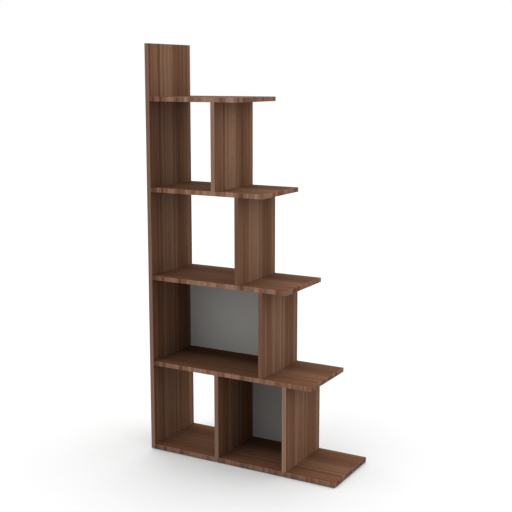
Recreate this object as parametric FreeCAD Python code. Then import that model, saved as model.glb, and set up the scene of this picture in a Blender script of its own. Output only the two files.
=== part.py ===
import FreeCAD, Part
import math
import os
from collections import defaultdict
from FreeCAD import Vector

# Staircase bookshelf: one tall side panel, five shelves that each reach a step further than the
# one above, and dividers that stand between them. Millimetres, +Z up, front towards -Y, origin on
# the floor under the middle of the outline.

# Boards and compartments
BOARD = 18.0  # thickness of the walnut boards
BACK_BOARD = 18.0  # thickness of the grey back panels
DEPTH = 300.0  # front to back, edging included
LEVEL_CLEAR = 342.0  # clear height between two shelves
TOP_REACH = 208.0  # side panel above the top shelf
TOP_BAY = 284.0  # clear width of the narrowest compartment, under the top shelf
STEP = 105.0  # each shelf and divider stands this much further out than the one above
PARTITION_BAY = 293.0  # clear width between the side panel and the bottom partition
BACK_PLAY = 0.5  # gap between a back panel and the shelf above it

# Edging glued over the exposed board edges
EDGING = 1.0
EDGE_ROUND = 0.8
EDGING_SEAM = 0.1  # glue line where two strips meet at a corner

# Bores in a board's face, and the play of round pieces in their bores
FACE_COVER = 7.0  # board left behind a bore in its face
BORE_PLAY = 0.05  # radial
BORE_END = 0.5  # empty length at the end of a bore

# Eccentric cams
CAM_DIAMETER = 15.0
CAM_PLAY = 0.1  # radial, in the pocket
CAM_DISTANCE = 34.0  # butt joint to cam axis
CAM_INSET = 50.0  # end of the joint to cam axis
CAM_RECESS = 0.8  # cam top below the board's face
CAM_FLOOR = 0.8  # metal under the bolt's head
CAM_WALL = 2.1  # mean wall round the bolt's head
CAM_ECCENTRICITY = 0.6
CAM_OPENING = 2.0  # how far past its axis the cam is hollow
CROSS_LENGTH = 7.0  # screwdriver cross in the cam's top
CROSS_WIDTH = 1.6
CROSS_FLOOR = 1.5  # metal left under the cross

# Connecting bolts
HEAD_DIAMETER = 6.8
HEAD_LENGTH = 4.0
HEAD_CHAMFER = 0.8
HEAD_PLAY = 0.3  # round the head and the neck, inside the cam
NECK_DIAMETER = 4.0
NECK_CLEAR = 0.6  # gap between the shank's shoulder and the cam's rim
SHANK_DIAMETER = 5.2
FLANGE_DIAMETER = 7.0
FLANGE_LENGTH = 2.0
THREAD_DIAMETER = 5.0
THREAD_CHAMFER = 1.2
PASSAGE_PLAY = 0.5  # radial, round the flange in the bore in the end of a board

# Caps over the cams
CAP_LIP = 1.25  # cap beyond the cam, all round
CAP_HEIGHT = 1.0
CAP_CHAMFER = 0.5
CAP_GAP = 0.2  # between the cap's plug and the cam

# Dowels
DOWEL_DIAMETER = 8.0
DOWEL_IN_END = 20.0  # length in the end of the held board
DOWEL_SPACING = 32.0  # cam axis to dowel axis
DOWEL_CHAMFER = 0.8

# Floor glides and their nails
GLIDE_MARGIN = 1.0  # board beside a glide under the side panel's edge
GLIDE_HEIGHT = 3.0
GLIDE_CHAMFER = 1.0
GLIDE_INSET = 30.0  # from the front, the back and the right end of the bottom shelf
GLIDE_SEAT = 1.4  # floor to the seat of the nail's head
NAIL_DIAMETER = 1.8
NAIL_HEAD_DIAMETER = 4.6
NAIL_HEAD_HEIGHT = 0.7
NAIL_COVER = 6.0  # board left above a nail's tip
NAIL_POINT = 2.0

# Shelves from the floor up, and the divider that stands on each
SHELVES = ("bottom_shelf", "lower_shelf", "middle_shelf", "upper_shelf", "top_shelf")
DIVIDERS = ("bottom_divider", "lower_divider", "middle_divider", "upper_divider")

# Places worked out from the sizes
X, Y, Z = Vector(1, 0, 0), Vector(0, 1, 0), Vector(0, 0, 1)
WIDTH = 2 * BOARD + TOP_BAY + len(SHELVES) * STEP
LEFT = -WIDTH / 2
INNER = LEFT + BOARD
FRONT = -DEPTH / 2
BACK = DEPTH / 2
PITCH = BOARD + LEVEL_CLEAR
TOP = GLIDE_HEIGHT + len(DIVIDERS) * PITCH + BOARD + TOP_REACH
PARTITION_LEFT = INNER + PARTITION_BAY
BACK_MIDDLE = BACK - BACK_BOARD / 2

# Fits worked out from the sizes
FACE_BORE = BOARD - FACE_COVER
PEG_IN_FACE = FACE_BORE - BORE_END
HEAD_SPACE = HEAD_DIAMETER / 2 + HEAD_PLAY
NECK_SPACE = NECK_DIAMETER / 2 + HEAD_PLAY
CAM_BELOW = HEAD_SPACE + CAM_FLOOR
CAM_TRACK = CAM_DIAMETER / 2 - CAM_WALL
HEAD_CONTACT = math.sqrt((HEAD_DIAMETER / 2) ** 2 - NECK_SPACE**2)  # beside the bolt's axis
HEAD_WALL = math.sqrt(CAM_TRACK**2 - HEAD_CONTACT**2)  # track axis to the wall that pulls the head
HEAD_START = CAM_DISTANCE + CAM_ECCENTRICITY - HEAD_WALL + BORE_PLAY
NAIL_IN_BOARD = BOARD - NAIL_COVER

pieces = defaultdict(list)
bores = defaultdict(list)


def shelf_underside(level):
    return GLIDE_HEIGHT + level * PITCH


def shelf_top(level):
    return shelf_underside(level) + BOARD


def shelf_right(level):
    return INNER + TOP_BAY + BOARD + (len(SHELVES) - level) * STEP


def divider_left(level):
    return INNER + TOP_BAY + (len(DIVIDERS) - 1 - level) * STEP


def block(low, high):
    size = high - low
    return Part.makeBox(size.x, size.y, size.z, low)


def rod(radius, start, end):
    axis = end - start
    return Part.makeCylinder(radius, axis.Length, start, axis)


def turned(axis, profile):
    """A solid of revolution; the profile is a list of (place along the axis, radius)."""
    across = Z if axis == X else X
    points = [axis * along + across * radius for along, radius in profile]
    return Part.Face(Part.makePolygon(points + points[:1])).revolve(Vector(), axis, 360)


def frame_at(origin, x_axis, z_axis):
    y_axis = z_axis.cross(x_axis)
    matrix = FreeCAD.Matrix()
    matrix.setCol(0, x_axis)
    matrix.setCol(1, y_axis)
    matrix.setCol(2, z_axis)
    matrix.setCol(3, origin)
    return FreeCAD.Placement(matrix)


def placed(shape, place):
    copy = shape.copy()
    copy.Placement = place.multiply(copy.Placement)
    return copy


def extent(low, high, side):
    """How far a box reaches along a direction."""
    return max(low.dot(side), high.dot(side))


def on_side(edge, low, high, side):
    reach = extent(low, high, side)
    return all(abs(vertex.Point.dot(side) - reach) < BORE_PLAY for vertex in edge.Vertexes)


def add_board(name, low, high, banded, butted):
    """A board with edging on its banded sides, kept square where it butts another board.

    The edging of the side named first runs right through and covers the ends of the others, and
    its own ends are trimmed square. Every other edge of the edging is rounded.
    """
    core = block(low, high)
    rounded = [
        edge
        for edge in core.Edges
        if sum(on_side(edge, low, high, side) for side in banded) == 1
        and not any(on_side(edge, low, high, side) for side in butted)
    ]
    core = core.makeFillet(min(EDGE_ROUND, EDGING), rounded)
    seams = []
    for side in banded:
        slab = block(low, high)
        slab.translate(side * (extent(low, high, side) + extent(low, high, -side) - EDGING))
        strip = core.common(slab)
        if seams:
            strip = strip.cut(seams)
        pieces[name + "_edging"].append(strip.Solids[0])
        core = core.cut(slab).Solids[0]
        slab.translate(side * -EDGING_SEAM)
        seams.append(slab)
    pieces[name].append(core)


# Fittings are drawn in a joint's own frame: the butt joint is the plane x = 0, +x runs into the
# end of the held board along the bolt's axis, and +z points out of the face that takes the cam.


def cam_pocket(board):
    axis = X * CAM_DISTANCE
    return rod(CAM_DIAMETER / 2 + CAM_PLAY, axis - Z * CAM_BELOW, axis + Z * board / 2)


def cam(board):
    """A disc with an eccentric track for the bolt's head, a slot for its neck and a way in."""
    axis = X * CAM_DISTANCE
    top = board / 2 - CAM_RECESS
    body = rod(CAM_DIAMETER / 2, axis - Z * CAM_BELOW, axis + Z * top)
    track_axis = axis + X * CAM_ECCENTRICITY
    track = rod(CAM_TRACK, track_axis - Z * HEAD_SPACE, track_axis + Z * HEAD_SPACE)
    slot = rod(CAM_DIAMETER, axis - Z * NECK_SPACE, axis + Z * NECK_SPACE)
    open_half = block(
        axis - Vector(CAM_DIAMETER, CAM_DIAMETER, CAM_DIAMETER),
        axis + Vector(CAM_OPENING, CAM_DIAMETER, CAM_DIAMETER),
    )
    way_in = rod(HEAD_SPACE, axis, axis + Y * CAM_DIAMETER)
    cross_floor = HEAD_SPACE + CROSS_FLOOR
    arm = Vector(CROSS_LENGTH / 2, CROSS_WIDTH / 2, 0)
    cross_arm = Vector(CROSS_WIDTH / 2, CROSS_LENGTH / 2, 0)
    cross = [
        block(axis - half + Z * cross_floor, axis + half + Z * board) for half in (arm, cross_arm)
    ]
    return body.cut([track.common(open_half), slot.common(open_half), way_in] + cross)


def bolt():
    """Thread in the neighbouring board, flange against its face, head caught in the cam."""
    thread = THREAD_DIAMETER / 2
    head = HEAD_DIAMETER / 2
    neck_start = CAM_DISTANCE - CAM_DIAMETER / 2 - NECK_CLEAR
    head_end = HEAD_START + HEAD_LENGTH
    return turned(
        X,
        [
            (-PEG_IN_FACE, 0),
            (-PEG_IN_FACE, thread - THREAD_CHAMFER),
            (-PEG_IN_FACE + THREAD_CHAMFER, thread),
            (0, thread),
            (0, FLANGE_DIAMETER / 2),
            (FLANGE_LENGTH, FLANGE_DIAMETER / 2),
            (FLANGE_LENGTH, SHANK_DIAMETER / 2),
            (neck_start, SHANK_DIAMETER / 2),
            (neck_start, NECK_DIAMETER / 2),
            (HEAD_START, NECK_DIAMETER / 2),
            (HEAD_START, head),
            (head_end - HEAD_CHAMFER, head),
            (head_end, head - HEAD_CHAMFER),
            (head_end, 0),
        ],
    )


def cap(board):
    """A flat cap on the board's face, with a plug that centres it in the cam's pocket."""
    face = board / 2
    plug = CAM_DIAMETER / 2
    rim = CAM_DIAMETER / 2 + CAP_LIP
    shape = turned(
        Z,
        [
            (face - CAM_RECESS + CAP_GAP, 0),
            (face - CAM_RECESS + CAP_GAP, plug),
            (face, plug),
            (face, rim),
            (face + CAP_HEIGHT - CAP_CHAMFER, rim),
            (face + CAP_HEIGHT, rim - CAP_CHAMFER),
            (face + CAP_HEIGHT, 0),
        ],
    )
    shape.translate(X * CAM_DISTANCE)
    return shape


def dowel():
    radius = DOWEL_DIAMETER / 2
    return turned(
        X,
        [
            (-PEG_IN_FACE, 0),
            (-PEG_IN_FACE, radius - DOWEL_CHAMFER),
            (-PEG_IN_FACE + DOWEL_CHAMFER, radius),
            (DOWEL_IN_END - DOWEL_CHAMFER, radius),
            (DOWEL_IN_END, radius - DOWEL_CHAMFER),
            (DOWEL_IN_END, 0),
        ],
    )


def join(family, held, carrier, centre, inward, pocket, reach, board=BOARD, capped=True):
    """Fastens the end of one board to the face of another with two cams and two dowels.

    centre is the middle of the butt joint, inward points into the held board and pocket out of
    the face that takes the cams. The joint's ends lie reach to either side of its centre.
    """
    along = pocket.cross(inward)
    bolt_bore = rod(THREAD_DIAMETER / 2 + BORE_PLAY, Vector(), X * -FACE_BORE)
    passage = rod(FLANGE_DIAMETER / 2 + PASSAGE_PLAY, Vector(), X * CAM_DISTANCE)
    dowel_radius = DOWEL_DIAMETER / 2 + BORE_PLAY
    dowel_bore = rod(dowel_radius, Vector(), X * -FACE_BORE)
    dowel_end_bore = rod(dowel_radius, Vector(), X * (DOWEL_IN_END + BORE_END))
    for end in (-1, 1):
        cam_place = frame_at(centre + along * end * (reach - CAM_INSET), inward, pocket)
        dowel_place = frame_at(
            centre + along * end * (reach - CAM_INSET - DOWEL_SPACING), inward, pocket
        )
        bores[held] += [placed(cam_pocket(board), cam_place), placed(passage, cam_place)]
        bores[held].append(placed(dowel_end_bore, dowel_place))
        bores[carrier] += [placed(bolt_bore, cam_place), placed(dowel_bore, dowel_place)]
        pieces[family + "_cams"].append(placed(cam(board), cam_place))
        pieces[family + "_cam_bolts"].append(placed(bolt(), cam_place))
        pieces[family + "_dowels"].append(placed(dowel(), dowel_place))
        if capped:
            pieces[family + "_cam_caps"].append(placed(cap(board), cam_place))


def add_side_panel():
    low = Vector(LEFT, FRONT, GLIDE_HEIGHT)
    add_board("side_panel", low, Vector(INNER, BACK, TOP), banded=(-Y, Y, Z), butted=(-Z,))


def add_shelf(level):
    """Runs from the side panel's inner face to its own step; cams in its underside."""
    name = SHELVES[level]
    low = Vector(INNER, FRONT, shelf_underside(level))
    high = Vector(shelf_right(level), BACK, shelf_top(level))
    add_board(name, low, high, banded=(-Y, Y, X), butted=(-X,))
    centre = Vector(INNER, 0, shelf_underside(level) + BOARD / 2)
    join("shelf", name, "side_panel", centre, X, -Z, DEPTH / 2)


def add_divider(name, left, level):
    """Stands on one shelf and carries the next; cams at both ends of its left face."""
    low = Vector(left, FRONT, shelf_top(level))
    high = Vector(left + BOARD, BACK, shelf_underside(level + 1))
    add_board(name, low, high, banded=(-Y, Y), butted=(-Z, Z))
    foot = Vector(left + BOARD / 2, 0, low.z)
    head = Vector(left + BOARD / 2, 0, high.z)
    join("divider", name, SHELVES[level], foot, Z, -X, DEPTH / 2)
    join("divider", name, SHELVES[level + 1], head, -Z, -X, DEPTH / 2)


def add_back_panel(name, left_board, right_board, left, right, level):
    """Stands on a shelf between two upright boards, flush with the back; cams in its rear face."""
    low = Vector(left, BACK - BACK_BOARD, shelf_top(level))
    high = Vector(right, BACK, shelf_underside(level + 1) - BACK_PLAY)
    pieces[name].append(block(low, high))
    middle = (low.z + high.z) / 2
    reach = (high.z - low.z) / 2
    left_end = Vector(left, BACK_MIDDLE, middle)
    right_end = Vector(right, BACK_MIDDLE, middle)
    join("back_panel", name, left_board, left_end, X, Y, reach, BACK_BOARD, capped=False)
    join("back_panel", name, right_board, right_end, -X, Y, reach, BACK_BOARD, capped=False)


def glide():
    """A disc with a chamfered foot, nailed on through a countersunk hole."""
    radius = BOARD / 2 - GLIDE_MARGIN
    head_hole = NAIL_HEAD_DIAMETER / 2 + BORE_PLAY
    nail_hole = NAIL_DIAMETER / 2 + BORE_PLAY
    return turned(
        Z,
        [
            (0, head_hole),
            (0, radius - GLIDE_CHAMFER),
            (GLIDE_CHAMFER, radius),
            (GLIDE_HEIGHT, radius),
            (GLIDE_HEIGHT, nail_hole),
            (GLIDE_SEAT, nail_hole),
            (GLIDE_SEAT, head_hole),
        ],
    )


def nail():
    tip = GLIDE_HEIGHT + NAIL_IN_BOARD
    return turned(
        Z,
        [
            (GLIDE_SEAT - NAIL_HEAD_HEIGHT, 0),
            (GLIDE_SEAT - NAIL_HEAD_HEIGHT, NAIL_HEAD_DIAMETER / 2),
            (GLIDE_SEAT, NAIL_HEAD_DIAMETER / 2),
            (GLIDE_SEAT, NAIL_DIAMETER / 2),
            (tip - NAIL_POINT, NAIL_DIAMETER / 2),
            (tip, 0),
        ],
    )


def add_glides():
    """Pairs, front and back: under the side panel, both bottom uprights and the open end."""
    places = {
        LEFT + BOARD / 2: "side_panel",
        PARTITION_LEFT + BOARD / 2: "bottom_shelf",
        divider_left(0) + BOARD / 2: "bottom_shelf",
        shelf_right(0) - GLIDE_INSET: "bottom_shelf",
    }
    nail_bore = rod(
        NAIL_DIAMETER / 2 + BORE_PLAY, Z * GLIDE_HEIGHT, Z * (GLIDE_HEIGHT + NAIL_IN_BOARD + BORE_END)
    )
    for x, board in places.items():
        for y in (FRONT + GLIDE_INSET, BACK - GLIDE_INSET):
            place = frame_at(Vector(x, y, 0), X, Z)
            bores[board].append(placed(nail_bore, place))
            pieces["floor_glides"].append(placed(glide(), place))
            pieces["glide_nails"].append(placed(nail(), place))


add_side_panel()
for level in range(len(SHELVES)):
    add_shelf(level)
for level, name in enumerate(DIVIDERS):
    add_divider(name, divider_left(level), level)
add_divider("bottom_partition", PARTITION_LEFT, 0)
add_back_panel("lower_back_panel", "side_panel", "lower_divider", INNER, divider_left(1), 1)
add_back_panel(
    "bottom_back_panel",
    "bottom_partition",
    "bottom_divider",
    PARTITION_LEFT + BOARD,
    divider_left(0),
    0,
)
add_glides()

os.makedirs("parts", exist_ok=True)
for name, shapes in pieces.items():
    if name in bores:
        shapes = [shape.cut(bores[name]).Solids[0] for shape in shapes]
    shape = shapes[0] if len(shapes) == 1 else Part.makeCompound(shapes)
    shape.exportStep("parts/" + name + ".step")
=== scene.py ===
"""Looks of a staircase bookshelf in walnut-faced board: finishes, fittings, floor, light and camera."""
import math

import bpy
from mathutils import Matrix, Vector


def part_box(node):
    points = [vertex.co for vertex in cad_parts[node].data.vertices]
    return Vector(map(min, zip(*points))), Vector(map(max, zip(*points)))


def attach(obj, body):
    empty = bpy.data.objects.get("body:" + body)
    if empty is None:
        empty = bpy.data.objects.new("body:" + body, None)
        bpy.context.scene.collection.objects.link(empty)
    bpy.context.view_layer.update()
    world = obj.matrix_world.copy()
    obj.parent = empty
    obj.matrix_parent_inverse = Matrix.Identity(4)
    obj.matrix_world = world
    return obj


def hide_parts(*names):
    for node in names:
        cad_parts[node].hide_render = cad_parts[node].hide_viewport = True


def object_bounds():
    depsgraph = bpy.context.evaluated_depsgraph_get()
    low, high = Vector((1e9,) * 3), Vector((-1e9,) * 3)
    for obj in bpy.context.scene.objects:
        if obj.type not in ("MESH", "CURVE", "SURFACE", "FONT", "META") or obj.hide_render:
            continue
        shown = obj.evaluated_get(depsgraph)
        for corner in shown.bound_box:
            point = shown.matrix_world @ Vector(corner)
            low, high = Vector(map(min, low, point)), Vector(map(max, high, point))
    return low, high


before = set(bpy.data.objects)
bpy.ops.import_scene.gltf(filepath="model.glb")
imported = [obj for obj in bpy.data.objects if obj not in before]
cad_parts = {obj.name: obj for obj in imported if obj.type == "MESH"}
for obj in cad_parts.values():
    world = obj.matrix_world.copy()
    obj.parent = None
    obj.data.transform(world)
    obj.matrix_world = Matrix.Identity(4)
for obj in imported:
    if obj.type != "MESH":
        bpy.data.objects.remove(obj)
cad_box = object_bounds()


# Side panel: the tall upright that carries every shelf. It is chipboard faced on both sides with
# a printed walnut foil, pressed on at the mill, so straight grain runs the whole height of it.
MM_PER_METRE = 1000

# How wide and how long each layer of the grain is, in millimetres, and its fractal detail. Real
# hairs and pores are finer than these, which are as coarse as they need to be to show.
BROAD_LAYERS = {
    "bands": (50.0, 6000.0, 1.0),
    "streaks": (16.0, 2500.0, 1.0),
    "marks": (21.0, 2500.0, 1.0),
    "tint": (54.0, 6000.0, 1.0),
}
FINE_LAYERS = {
    "lines": (4.5, 700.0, 2.0),
    "hairs": (1.3, 350.0, 1.0),
    "pores": (1.2, 22.0, 0.0),
}
LAYER_MIDDLE = 0.5
# How strongly the hairs are added, and which layers are mixed over the bands on a board
HAIR_SHARE = 0.3
BOARD_SHARES = {"streaks": 0.5, "lines": 0.12}
# How far the sum of the layers strays from its middle at the darkest and the lightest tone
TONE_REACH = 0.14
# How far across and how far along the endless print the uprights are cut
UPRIGHT_CUT_MM = (289928.0, 0.0)
# How far the grain strays sideways, and over what length
WAVER_MM = 5.0
WAVER_LENGTH_MM = 420.0

UPRIGHT_TONES = ("#482f21", "#563a2a", "#604534", "#6a4f3e", "#765a49")
RED_TINT = "#fdece6"
OLIVE_TINT = "#f3f4ea"
# Where on the tint layer each tint sets in, and where it is full
TINT_RANGES = {RED_TINT: (0.5, 0.7), OLIVE_TINT: (0.5, 0.3)}
# Where on its layer a pore sets in and where it is full, how dark it is there, and its dent
PORE_EDGE = 0.36
PORE_CORE = 0.26
PORE_DARKNESS = 0.45
DENT_MM = 0.2
DENT_STRENGTH = 0.25
COAT_IOR = 1.45
DARK_BAND_ROUGHNESS = 0.7
LIGHT_BAND_ROUGHNESS = 0.58
UPRIGHT_GLOSS = 0.02
CHIP_TONES = ("#5d4630", "#8a6b49", "#a98a62", "#c4a97f")
CHIP_MM = 2.6


def linear(colour):
    """An sRGB hex colour as linear red, green, blue and alpha."""
    channels = [int(colour[i:i + 2], 16) / 255 for i in (1, 3, 5)]
    return [c / 12.92 if c <= 0.04045 else ((c + 0.055) / 1.055) ** 2.4 for c in channels] + [1.0]


def add_node(material, kind, inputs=None, **settings):
    """Adds a node of that kind with its settings, and sets or links its inputs."""
    node = material.node_tree.nodes.new("ShaderNode" + kind)
    for name, value in settings.items():
        setattr(node, name, value)
    for name, value in (inputs or {}).items():
        if isinstance(value, bpy.types.NodeSocket):
            material.node_tree.links.new(value, node.inputs[name])
        else:
            node.inputs[name].default_value = value
    return node


def new_material(name):
    """A material under that name, and its shader."""
    material = bpy.data.materials.new(name)
    material.use_nodes = True
    return material, material.node_tree.nodes["Principled BSDF"]


def tone_ramp(material, amount, tones):
    """Evenly spaced tones, from the first where the amount is 0 to the last where it is 1."""
    ramp = add_node(material, "ValToRGB", {"Fac": amount})
    stops = ramp.color_ramp.elements
    for _ in tones[2:]:
        stops.new(0.5)
    for number, tone in enumerate(tones):
        stops[number].position = number / (len(tones) - 1)
        stops[number].color = linear(tone)
    return ramp.outputs["Color"]


def facing(material, axis):
    """1 on the faces that look along an axis, either way, and 0 on the others."""
    normal = add_node(material, "TexCoord").outputs["Normal"]
    along = add_node(material, "SeparateXYZ", {0: normal}).outputs[axis]
    size = add_node(material, "Math", {0: along}, operation="ABSOLUTE").outputs[0]
    limit = math.cos(math.radians(45))
    return add_node(material, "Math", {0: size, 1: limit}, operation="GREATER_THAN").outputs[0]


def chipboard(material, place):
    """The board's pressed wood chips, where a bore or an edge without edging lays them bare."""
    chips = add_node(material, "TexVoronoi", {"Vector": place, "Scale": MM_PER_METRE / CHIP_MM})
    shade = add_node(material, "SeparateColor", {0: chips.outputs["Color"]}).outputs["Red"]
    return tone_ramp(material, shade, CHIP_TONES)


def sheet_place(material, cut_mm, across, lying):
    """Where on the print a point of the piece lies, with the grain along the third axis.

    The print starts at the cut: so far across the grain, on the axes across, and so far along it.
    Faces that look up or down are turned, so that the grain follows the axis lying there.
    """
    place = add_node(material, "TexCoord").outputs["Object"]
    if lying:
        x, y, z = add_node(material, "SeparateXYZ", {0: place}).outputs
        turned = {"X": {0: z, 1: y, 2: x}, "Y": {0: x, 1: z, 2: y}}[lying]
        turned_place = add_node(material, "CombineXYZ", turned).outputs[0]
        place = add_node(
            material,
            "Mix",
            {"Factor": facing(material, "Z"), 4: place, 5: turned_place},
            data_type="VECTOR",
        ).outputs[1]
    cut_across, cut_along = (length / MM_PER_METRE for length in cut_mm)
    start = [cut_across if axis in across else 0.0 for axis in "XY"] + [cut_along]
    return add_node(material, "VectorMath", {0: place, 1: start}, operation="ADD").outputs[0]


def grain_layers(material, place, across):
    """Each layer of the print, stretched along a grain that wavers a little."""
    waver_scale = [MM_PER_METRE / WAVER_LENGTH_MM] * 3
    waver_reach = [WAVER_MM / MM_PER_METRE, WAVER_MM / MM_PER_METRE, 0.0]
    waver_place = add_node(
        material, "VectorMath", {0: place, 1: waver_scale}, operation="MULTIPLY"
    ).outputs[0]
    waver = add_node(material, "TexNoise", {"Vector": waver_place, "Scale": 1.0}).outputs["Color"]
    wavered = add_node(
        material, "VectorMath", {0: waver, 1: waver_reach, 2: place}, operation="MULTIPLY_ADD"
    ).outputs[0]
    layers = {}
    for layer, (width, length, detail) in (BROAD_LAYERS | FINE_LAYERS).items():
        varying = across if layer in BROAD_LAYERS else "XY"
        scale = [MM_PER_METRE / width if axis in varying else 0.0 for axis in "XY"]
        stretched = add_node(
            material,
            "VectorMath",
            {0: wavered, 1: scale + [MM_PER_METRE / length]},
            operation="MULTIPLY",
        ).outputs[0]
        layers[layer] = add_node(
            material, "TexNoise", {"Vector": stretched, "Scale": 1.0, "Detail": detail}
        ).outputs["Fac"]
    return layers


def walnut_print(material, layers, shares, tones):
    """The bands with other layers mixed over them, in tones of brown that lean to red or olive."""
    figure = layers["bands"]
    for layer, share in shares.items():
        figure = add_node(
            material, "Mix", {"Factor": share, 2: figure, 3: layers[layer]}, data_type="FLOAT"
        ).outputs[0]
    figure = add_node(
        material,
        "Math",
        {0: layers["hairs"], 1: HAIR_SHARE, 2: figure},
        operation="MULTIPLY_ADD",
    ).outputs[0]
    middle = LAYER_MIDDLE + LAYER_MIDDLE * HAIR_SHARE
    spread = add_node(
        material,
        "MapRange",
        {"Value": figure, "From Min": middle - TONE_REACH, "From Max": middle + TONE_REACH},
    ).outputs[0]
    colour = tone_ramp(material, spread, tones)
    for tint, (edge, core) in TINT_RANGES.items():
        amount = add_node(
            material, "MapRange", {"Value": layers["tint"], "From Min": edge, "From Max": core}
        ).outputs[0]
        colour = add_node(
            material,
            "Mix",
            {"Factor": amount, 6: colour, 7: linear(tint)},
            data_type="RGBA",
            blend_type="MULTIPLY",
        ).outputs[2]
    return colour


def walnut_foil(
    name, tones, cut_mm, gloss, across="Y", shares=BOARD_SHARES, board_faces=None, lying=None
):
    """Printed walnut foil under a satin melamine coat, with its grain upright.

    Broad bands, the layers named in shares and fine hairs give one ramp of browns, a slow tint
    leans the bands to red or olive, and short pores darken the print and dent the coat. The broad
    print changes only over the axes across, so boards of a kind show the same part of the sheet.
    On a board, only the faces that look along one axis are covered, and the others show its chips.
    Faces that look up or down have the grain along the axis lying instead.
    """
    material, shader = new_material(name)
    place = sheet_place(material, cut_mm, across, lying)
    layers = grain_layers(material, place, across)
    pore_range = {"From Min": PORE_EDGE, "From Max": PORE_CORE, "To Max": PORE_DARKNESS}
    pore = add_node(material, "MapRange", {"Value": layers["pores"], **pore_range}).outputs[0]
    colour = add_node(
        material,
        "Mix",
        {"Factor": pore, 6: walnut_print(material, layers, shares, tones), 7: linear(tones[0])},
        data_type="RGBA",
    ).outputs[2]
    if board_faces:
        colour = add_node(
            material,
            "Mix",
            {"Factor": facing(material, board_faces), 6: chipboard(material, place), 7: colour},
            data_type="RGBA",
        ).outputs[2]
    relief = add_node(material, "Math", {0: layers["lines"], 1: pore}, operation="SUBTRACT").outputs[0]
    bump = add_node(
        material,
        "Bump",
        {"Strength": DENT_STRENGTH, "Distance": DENT_MM / MM_PER_METRE, "Height": relief},
    ).outputs[0]
    sheen = add_node(
        material,
        "MapRange",
        {"Value": layers["bands"], "To Min": DARK_BAND_ROUGHNESS, "To Max": LIGHT_BAND_ROUGHNESS},
    ).outputs[0]
    links = material.node_tree.links
    links.new(colour, shader.inputs["Base Color"])
    links.new(sheen, shader.inputs["Roughness"])
    links.new(bump, shader.inputs["Normal"])
    shader.inputs["IOR"].default_value = COAT_IOR
    shader.inputs["Specular IOR Level"].default_value = gloss
    return material


def clothe(material, *names):
    """Gives CAD nodes a material in place of the plain one they were packed with."""
    for name in names:
        for material_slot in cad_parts[name].material_slots:
            material_slot.material = material


upright_foil = walnut_foil(
    "walnut_foil_upright", UPRIGHT_TONES, UPRIGHT_CUT_MM, UPRIGHT_GLOSS, board_faces="X"
)
clothe(upright_foil, "side_panel")


# Shelves: five boards of the same faced chipboard, each a step longer than the one above, butted
# against the side panel with two cam locks. Their foil takes darker tones than the uprights' as
# painted shade, to hold the tops down under the strong light from above, and its grain runs along
# the shelf.
SHELVES = ("bottom_shelf", "lower_shelf", "middle_shelf", "upper_shelf", "top_shelf")
# The same foil as the uprights', with its tones darkened as painted shade against the light on the
# shelf tops
SHELF_PAINTED_SHADE_TONES = ("#402c1f", "#493223", "#503629", "#563c2d", "#5b4234")
SHELF_ALONG_MM = 1200.0
SHELF_CUT_MM = (UPRIGHT_CUT_MM[0], SHELF_ALONG_MM)
SHELF_GLOSS = 0.003
shelf_foil = walnut_foil(
    "walnut_foil_shelf_painted_shade", SHELF_PAINTED_SHADE_TONES, SHELF_CUT_MM, SHELF_GLOSS, board_faces="Z", lying="X"
)
clothe(shelf_foil, *SHELVES)


# Dividers and the bottom partition: short uprights, cam-locked between two shelves, cut from the
# same boards as the side panel, with their grain upright as well.
DIVIDERS = ("bottom_divider", "lower_divider", "middle_divider", "upper_divider")
UPRIGHTS = DIVIDERS + ("bottom_partition",)
clothe(upright_foil, *UPRIGHTS)


# Edging of the uprights: 1 mm strips of printed plastic, glued over the exposed edges and rounded
# where they meet the faces. They come off three rolls, one paler and one darker than the medium
# one. The strip on top of the side panel carries painted shade, darker to hold it down under the
# strong light from above, with its grain from front to back.
EDGING_GLOSS = 0.03
EDGING_CUT_MM = (40134.0, 0.0)
EDGING_SHARES = {"marks": 0.34, "lines": 0.4}
EDGING_ROLLS = {
    "pale": ("#6f5849", "#786051", "#806758", "#866d5f", "#8c7466"),
    "medium": ("#644b40", "#6b5447", "#725a4d", "#796154", "#7f675a"),
    "dark": ("#584032", "#604538", "#654b3d", "#6b5143", "#715849"),
}
EDGED_FROM = {
    "side_panel": "medium",
    "bottom_partition": "medium",
    "bottom_divider": "pale",
    "lower_divider": "dark",
    "middle_divider": "dark",
    "upper_divider": "pale",
}
# Painted shade multiplied over the top strip of the side panel, against the strong light from above
TOP_STRIP_PAINTED_SHADE = "#cfcdcb"


def paint_shade_on_strips(edging, axis, shade):
    """Paints shade over the print on the strips that look along an axis, darkening them."""
    shader = edging.node_tree.nodes["Principled BSDF"]
    even_print = shader.inputs["Base Color"].links[0].from_socket
    print_with_painted_shade = add_node(
        edging,
        "Mix",
        {"Factor": facing(edging, axis), 6: even_print, 7: linear(shade)},
        data_type="RGBA",
        blend_type="MULTIPLY",
    ).outputs[2]
    edging.node_tree.links.new(print_with_painted_shade, shader.inputs["Base Color"])


for roll, tones in EDGING_ROLLS.items():
    edging = walnut_foil(
        "walnut_edging_" + roll, tones, EDGING_CUT_MM, EDGING_GLOSS, shares=EDGING_SHARES, lying="Y"
    )
    paint_shade_on_strips(edging, "Z", TOP_STRIP_PAINTED_SHADE)
    clothe(edging, *(name + "_edging" for name, chosen in EDGED_FROM.items() if chosen == roll))


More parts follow.
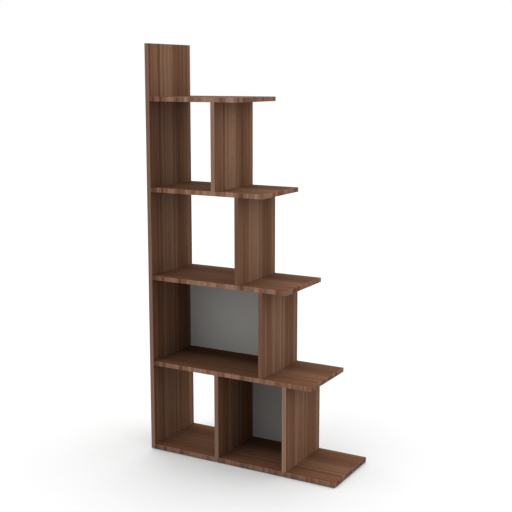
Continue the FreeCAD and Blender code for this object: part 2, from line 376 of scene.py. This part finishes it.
# Edging of the shelves: the same kind of strip with the print turned across, so that it shows
# short upright marks. The strips on the right ends are darkened with painted shade, against the
# light that falls on them from the right, and the bottom shelf's strips have darker tones as
# painted shade, for the shadow on the floor in front of them.
SHELF_EDGING_TONES = {
    "walnut_edging_shelf": ("#4a3126", "#5e4434", "#6b5142", "#795f4f", "#876e5f"),
    # Darker tones for the bottom shelf's strips: painted shade for the floor shadow in front of it
    "walnut_edging_bottom_shelf_painted_shade": ("#442f28", "#543f35", "#614c3e", "#6e594c", "#7a665a"),
}
SHELF_EDGING_SHARES = {"marks": 0.6, "lines": 0.25}
# Painted shade multiplied over the strips on the right ends of the shelves
END_STRIP_PAINTED_SHADE = "#e2ded9"
for name, tones in SHELF_EDGING_TONES.items():
    edging = walnut_foil(
        name, tones, EDGING_CUT_MM, EDGING_GLOSS, across="XY", shares=SHELF_EDGING_SHARES
    )
    paint_shade_on_strips(edging, "X", END_STRIP_PAINTED_SHADE)
    edged = SHELVES[:1] if "bottom" in name else SHELVES[1:]
    clothe(edging, *(shelf + "_edging" for shelf in edged))


# Back panels: two boards in grey melamine that close the back of the lower and the bottom right
# compartment. They stand between the uprights and are held by cams in their rear faces.
# The bottom panel's grey is darker than the lower one's as painted shade, for its narrower compartment
GREY_AND_PAINTED_SHADE_TONES = {
    "lower_back_panel": ("#949390", "#969592", "#989794"),
    "bottom_back_panel": ("#807e7b", "#82807d", "#83827f"),
}
# Between which values of the mottle the tones are spread, and how far it shifts the roughness
MOTTLE_LOW = 0.3
MOTTLE_HIGH = 0.7
MOTTLE_DULLNESS = 0.08
MOTTLE_DETAIL = 2.0
GRIT_DETAIL = 1.0


def fine_grained(
    name, tones, mottle_mm, grit_mm, grit_depth_mm, roughness, metallic=0.0, gloss=0.5, faces=None
):
    """A pressed, cast or moulded surface: a slow mottle of close tones and an even fine grit.

    On a board, only the faces that look along one axis are covered, and the others show its chips.
    """
    material, shader = new_material(name)
    place = add_node(material, "TexCoord").outputs["Object"]
    mottle_scale = MM_PER_METRE / mottle_mm
    mottle = add_node(
        material, "TexNoise", {"Vector": place, "Scale": mottle_scale, "Detail": MOTTLE_DETAIL}
    ).outputs["Fac"]
    grit = add_node(
        material, "TexNoise", {"Vector": place, "Scale": MM_PER_METRE / grit_mm, "Detail": GRIT_DETAIL}
    ).outputs["Fac"]
    even = add_node(
        material, "MapRange", {"Value": mottle, "From Min": MOTTLE_LOW, "From Max": MOTTLE_HIGH}
    ).outputs[0]
    colour = tone_ramp(material, even, tones)
    if faces:
        colour = add_node(
            material,
            "Mix",
            {"Factor": facing(material, faces), 6: chipboard(material, place), 7: colour},
            data_type="RGBA",
        ).outputs[2]
    roughness_range = {"To Min": roughness - MOTTLE_DULLNESS, "To Max": roughness + MOTTLE_DULLNESS}
    dullness = add_node(material, "MapRange", {"Value": mottle, **roughness_range}).outputs[0]
    bump = add_node(
        material,
        "Bump",
        {"Strength": 1.0, "Distance": grit_depth_mm / MM_PER_METRE, "Height": grit},
    ).outputs[0]
    links = material.node_tree.links
    links.new(colour, shader.inputs["Base Color"])
    links.new(dullness, shader.inputs["Roughness"])
    links.new(bump, shader.inputs["Normal"])
    shader.inputs["Metallic"].default_value = metallic
    shader.inputs["Specular IOR Level"].default_value = gloss
    return material


# Melamine pressed against a pearled steel sheet: an even grey with a fine soft grit
for board, tones in GREY_AND_PAINTED_SHADE_TONES.items():
    grey_melamine = fine_grained(
        "grey_melamine_" + board,
        tones,
        mottle_mm=160,
        grit_mm=1.1,
        grit_depth_mm=0.02,
        roughness=0.6,
        gloss=0.15,
        faces="Y",
    )
    clothe(grey_melamine, board)


# Cams: discs of die-cast zinc, 15 mm across, that turn in pockets in the held board and draw the
# bolt's head in. The cast skin is a dull, slightly blotched grey.
ZINC_TONES = ("#7c8085", "#8f9398", "#a2a5a9")
die_cast_zinc = fine_grained(
    "die_cast_zinc",
    ZINC_TONES,
    mottle_mm=3,
    grit_mm=0.4,
    grit_depth_mm=0.01,
    roughness=0.42,
    metallic=1.0,
)
clothe(die_cast_zinc, "shelf_cams", "divider_cams", "back_panel_cams")


# Connecting bolts: turned steel with a thin bright zinc plating, screwed into the face of the
# neighbouring board, each with its head in a cam.
PLATING_TONES = ("#aeb3b9", "#bfc3c8", "#c9ccd0")
zinc_plated_steel = fine_grained(
    "zinc_plated_steel",
    PLATING_TONES,
    mottle_mm=2,
    grit_mm=0.3,
    grit_depth_mm=0.004,
    roughness=0.28,
    metallic=1.0,
)
clothe(zinc_plated_steel, "shelf_cam_bolts", "divider_cam_bolts", "back_panel_cam_bolts")


# Dowels: beech pegs, 8 mm thick, glued into both boards beside each cam. The bare wood is pale
# and matt, with a faint mottle.
BEECH_TONES = ("#b5885a", "#c99e70", "#d6b084")
beech = fine_grained(
    "beech", BEECH_TONES, mottle_mm=4, grit_mm=0.6, grit_depth_mm=0.03, roughness=0.7
)
clothe(beech, "shelf_dowels", "divider_dowels", "back_panel_dowels")


# Cam caps: brown polypropylene covers that are pushed over the cams in the compartments. Each is
# a thin disc with a rounded rim and a shallow dish, on a plug that grips the pocket.
CAP_RADIUS = 0.00875
CAP_HEIGHT = 0.001
CAP_SIDES = 48
PLUG_RADIUS = 0.0075
PLUG_DEPTH = 0.0006
RIM_ROUND = 0.0005
RIM_STEPS = 4
DISH_RIM = 0.0016
DISH_SLOPE = 0.0006
DISH_DEPTH = 0.0002
CAM_DISTANCE = 0.034
CAM_INSET = 0.05
SMOOTH_ANGLE = math.radians(35)
# A face counts as level where its normal reaches further than this along the cap's axis
LEVEL = 0.9
CAP_TONES = ("#4a3326", "#503829", "#563d2d")


def pick_faces(piece, wanted):
    """Selects the faces of a piece, in edit mode, by their middle and normal."""
    bpy.ops.object.mode_set(mode="OBJECT")
    for group in (piece.data.vertices, piece.data.edges):
        for item in group:
            item.select = False
    for face in piece.data.polygons:
        face.select = wanted(face.center, face.normal)
    bpy.ops.object.mode_set(mode="EDIT")
    bpy.ops.mesh.select_mode(type="FACE")


bpy.ops.object.select_all(action="DESELECT")
bpy.ops.mesh.primitive_cylinder_add(
    vertices=CAP_SIDES, radius=CAP_RADIUS, depth=CAP_HEIGHT, location=(0, 0, CAP_HEIGHT / 2)
)
cap = bpy.context.object
bpy.ops.object.transform_apply()
pick_faces(cap, lambda middle, normal: normal.z < -LEVEL)
bpy.ops.mesh.inset(thickness=CAP_RADIUS - PLUG_RADIUS)
bpy.ops.mesh.extrude_region_move(TRANSFORM_OT_translate={"value": (0, 0, -PLUG_DEPTH)})
pick_faces(cap, lambda middle, normal: normal.z > LEVEL)
bpy.ops.mesh.bevel(offset=RIM_ROUND, segments=RIM_STEPS)
pick_faces(cap, lambda middle, normal: normal.z > LEVEL and middle.xy.length < RIM_ROUND)
bpy.ops.mesh.inset(thickness=DISH_RIM)
bpy.ops.mesh.inset(thickness=DISH_SLOPE)
bpy.ops.transform.translate(value=(0, 0, -DISH_DEPTH))
bpy.ops.object.mode_set(mode="OBJECT")
bpy.ops.object.shade_smooth_by_angle(angle=SMOOTH_ANGLE)

# Spark-eroded mould: an even brown with a fine grit
brown_plastic = fine_grained(
    "brown_polypropylene",
    CAP_TONES,
    mottle_mm=6,
    grit_mm=0.35,
    grit_depth_mm=0.012,
    roughness=0.5,
    gloss=0.15,
)
cap.data.materials.append(brown_plastic)

cap_rows = (cad_box[0][1] + CAM_INSET, cad_box[1][1] - CAM_INSET)
cap_places = {"shelf_cam_caps": [], "divider_cam_caps": []}
for name in SHELVES:
    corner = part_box(name)[0]
    for y in cap_rows:
        cap_places["shelf_cam_caps"].append(((corner[0] + CAM_DISTANCE, y, corner[2]), (0, 0, -1)))
for name in UPRIGHTS:
    low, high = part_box(name)
    for z in (low[2] + CAM_DISTANCE, high[2] - CAM_DISTANCE):
        for y in cap_rows:
            cap_places["divider_cam_caps"].append(((low[0], y, z), (-1, 0, 0)))
for node, places in cap_places.items():
    bpy.ops.object.select_all(action="DESELECT")
    for place, outward in places:
        copy = cap.copy()
        copy.data = cap.data.copy()
        bpy.context.collection.objects.link(copy)
        turn = Vector(outward).to_track_quat("Z", "Y").to_matrix().to_4x4()
        copy.matrix_world = Matrix.Translation(place) @ turn
        copy.select_set(True)
        bpy.context.view_layer.objects.active = copy
    bpy.ops.object.transform_apply()
    bpy.ops.object.join()
    covers = bpy.context.object
    covers.name = node.replace("cam_caps", "cap_covers")
    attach(covers, "root")
    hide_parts(node)
bpy.data.objects.remove(cap)


# Floor glides: moulded plastic discs, 16 mm across, nailed under the side panel and the bottom
# shelf. Their dark edges show as the thin gap under the bookshelf.
GLIDE_TONES = ("#241d19", "#2a221d", "#302721")
glide_plastic = fine_grained(
    "glide_polyethylene", GLIDE_TONES, mottle_mm=6, grit_mm=0.4, grit_depth_mm=0.012, roughness=0.5
)
clothe(glide_plastic, "floor_glides")
clothe(zinc_plated_steel, "glide_nails")


# Floor: a wide sheet of matt pale paper under the bookshelf. It shows the soft shadow round the
# boards, and is bright enough under the lamps to run into the white.
FLOOR_SIZE = 60.0
FLOOR_TONE = "#a5a5a5"
FLOOR_ROUGHNESS = 0.9
bpy.ops.object.select_all(action="DESELECT")
bpy.ops.mesh.primitive_plane_add(size=FLOOR_SIZE)
floor = bpy.context.object
floor.name = "floor"
paper, paper_shader = new_material("matt_paper")
paper_shader.inputs["Base Color"].default_value = linear(FLOOR_TONE)
paper_shader.inputs["Roughness"].default_value = FLOOR_ROUGHNESS
paper_shader.inputs["Specular IOR Level"].default_value = 0.0
floor.data.materials.append(paper)


# Light: a white studio with three broad soft lamps: a strong one high up behind on the left, and
# two lower ones, behind on the right and in front on the left, so that shade fills the bays.
LAMP_SPREAD = math.radians(80)
# Degrees round from the front, degrees above the floor, and strength
LAMPS = {"high_lamp": (240, 75, 5.0), "right_lamp": (120, 25, 1.65), "left_lamp": (-40, 25, 0.85)}
STUDIO_WHITE = "#ffffff"
world = bpy.data.worlds.new("white_studio")
world.use_nodes = True
world.node_tree.nodes["Background"].inputs["Color"].default_value = linear(STUDIO_WHITE)
bpy.context.scene.world = world
bpy.context.scene.view_settings.view_transform = "Standard"


def towards(azimuth, height):
    """The direction at an angle round from the front and an angle above the floor, in radians."""
    return Vector((
        math.sin(azimuth) * math.cos(height),
        -math.cos(azimuth) * math.cos(height),
        math.sin(height),
    ))


for name, (azimuth, height, energy) in LAMPS.items():
    bpy.ops.object.light_add(type="SUN")
    lamp = bpy.context.object
    lamp.name = name
    lamp.data.energy = energy
    lamp.data.angle = LAMP_SPREAD
    lamp.rotation_mode = "QUATERNION"
    lamp_side = towards(math.radians(azimuth), math.radians(height))
    lamp.rotation_quaternion = lamp_side.to_track_quat("Z", "Y")


# Camera: at eye height in front and to the right of the shelf, with a long lens that is aimed
# slightly down and shifted a little, so that the uprights stay nearly parallel.
CAMERA_AZIMUTH = math.radians(29.281)
CAMERA_DIP = math.radians(9.441)
CAMERA_DISTANCE = 3.9242
CAMERA_TARGET = Vector((-0.0029, -0.0016, 0.8963))
CAMERA_LENS_MM = 69.39
CAMERA_SENSOR_MM = 36.0
CAMERA_SHIFT = -0.03
camera_back = towards(CAMERA_AZIMUTH, CAMERA_DIP)
bpy.ops.object.camera_add(location=CAMERA_TARGET + camera_back * CAMERA_DISTANCE)
camera = bpy.context.object
camera.rotation_mode = "QUATERNION"
camera.rotation_quaternion = camera_back.to_track_quat("Z", "Y")
camera.data.lens = CAMERA_LENS_MM
camera.data.sensor_width = CAMERA_SENSOR_MM
camera.data.shift_y = CAMERA_SHIFT
bpy.context.scene.camera = camera
